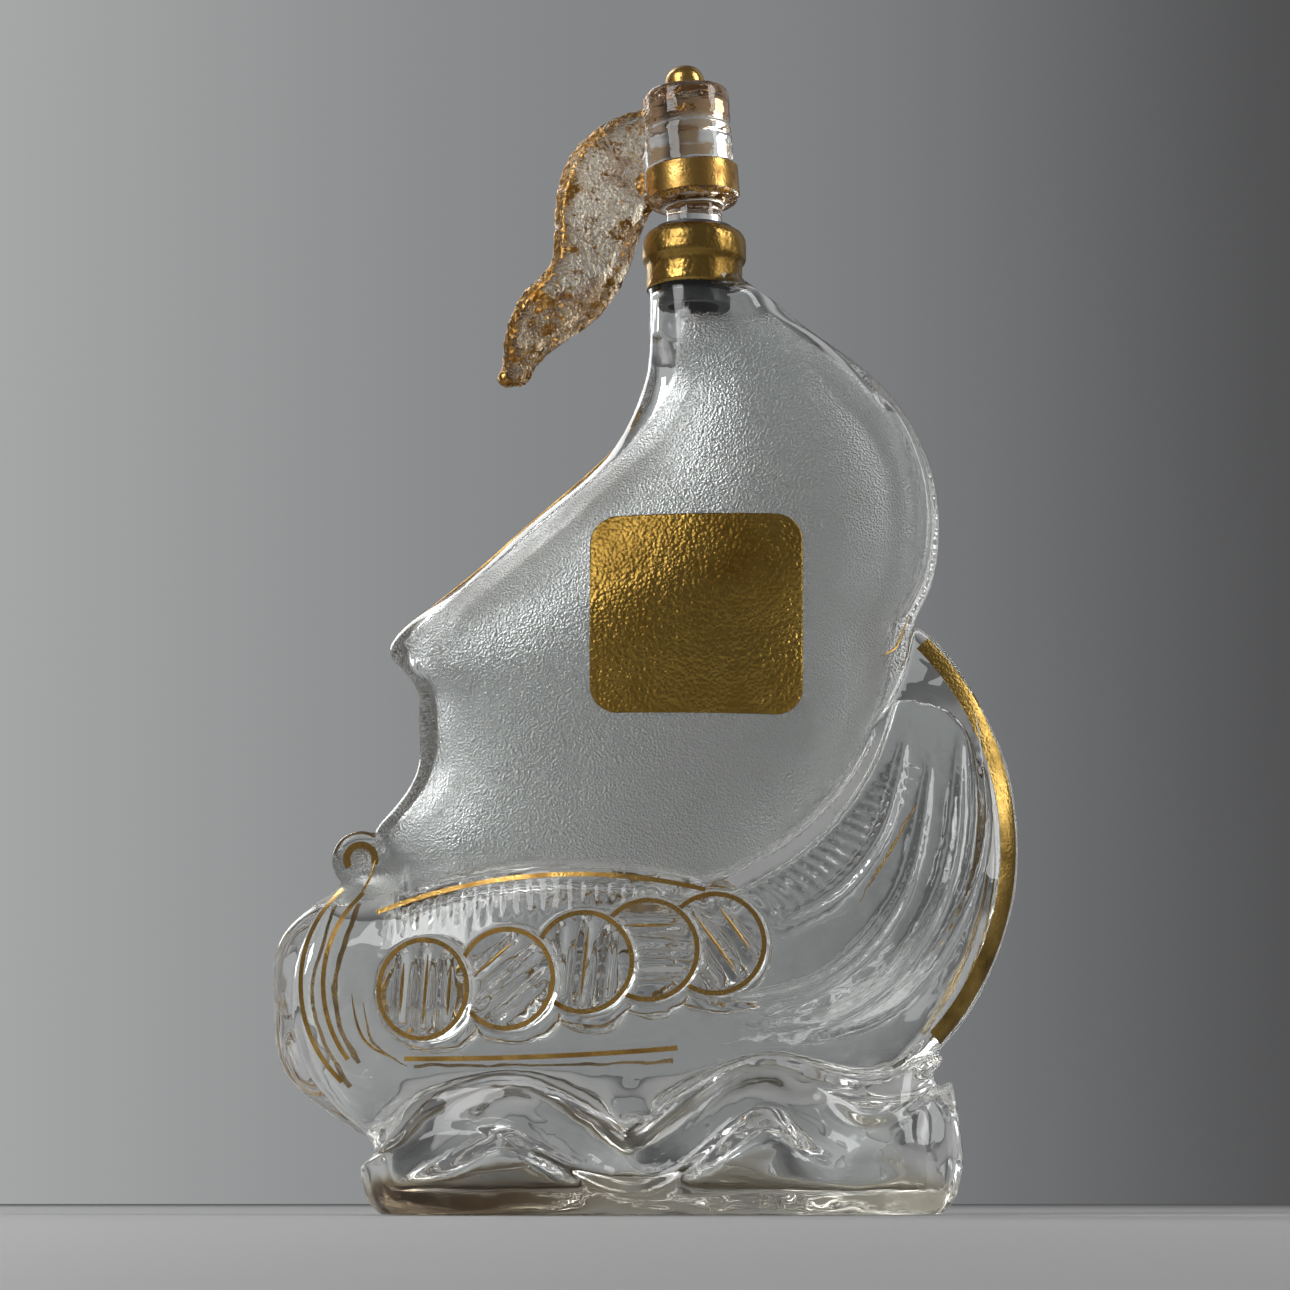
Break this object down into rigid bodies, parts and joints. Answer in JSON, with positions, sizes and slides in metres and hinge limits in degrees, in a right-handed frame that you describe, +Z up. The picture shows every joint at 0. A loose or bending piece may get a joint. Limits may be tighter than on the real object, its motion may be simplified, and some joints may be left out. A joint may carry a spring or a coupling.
{
  "type": "figural liquor decanter",
  "caption": "Clear glass decanter moulded as a longship under a billowing frosted sail on a wavy base, gilt lines and shield rims, a blank foil label and a pennant-shaped stopper.",
  "frame": {"origin": "on the table, under the axis of the neck, which is the ship's mast", "axes": "+Z up along the neck, +X from the mast to the stern, -Y out of the port face that bears the label"},
  "size_m": [0.191, 0.0704, 0.3016],
  "materials": {
    "bottle_glass": "clear, with the sail frosted to a fine grain",
    "stopper_glass": "clear, hammered pennant",
    "gilt": "worn fired gold",
    "neck_foil": "crinkled gold foil",
    "label_foil": "pebbled gold foil, blank",
    "sleeve": "dark moulded sleeve"
  },
  "bodies": {
    "bottle": {"glass_bottle": "bottle_glass", "neck_foil": "neck_foil", "label": "label_foil", "gilt_gunwale_port": "gilt", "gilt_gunwale_starboard": "gilt", "gilt_waterline_port": "gilt", "gilt_waterline_starboard": "gilt", "gilt_bow_inner_port": "gilt", "gilt_bow_inner_starboard": "gilt", "gilt_bow_outer_port": "gilt", "gilt_bow_outer_starboard": "gilt", "gilt_scroll_port": "gilt", "gilt_scroll_starboard": "gilt", "gilt_sternpost_port": "gilt", "gilt_sternpost_starboard": "gilt", "gilt_rim_port_1": "gilt", "gilt_rim_port_2": "gilt", "gilt_rim_port_3": "gilt", "gilt_rim_port_4": "gilt", "gilt_rim_port_5": "gilt", "gilt_rim_starboard_1": "gilt", "gilt_rim_starboard_2": "gilt", "gilt_rim_starboard_3": "gilt", "gilt_rim_starboard_4": "gilt", "gilt_rim_starboard_5": "gilt"},
    "sleeve": {"stopper_sleeve": "sleeve"},
    "stopper": {"stopper_glass": "stopper_glass", "masthead_knob": "gilt", "skirt_band": "gilt"}
  },
  "joints": [
    {"name": "stopper_lift", "type": "slide", "parent": "bottle", "child": "sleeve", "axis": [0, 0, 1], "range_m": [0, 0.06]},
    {"name": "stopper_turn", "type": "hinge", "parent": "sleeve", "child": "stopper", "pos_m": [0, 0, 0.257], "axis": [0, 0, 1], "range_deg": [-150, 150]}
  ]
}
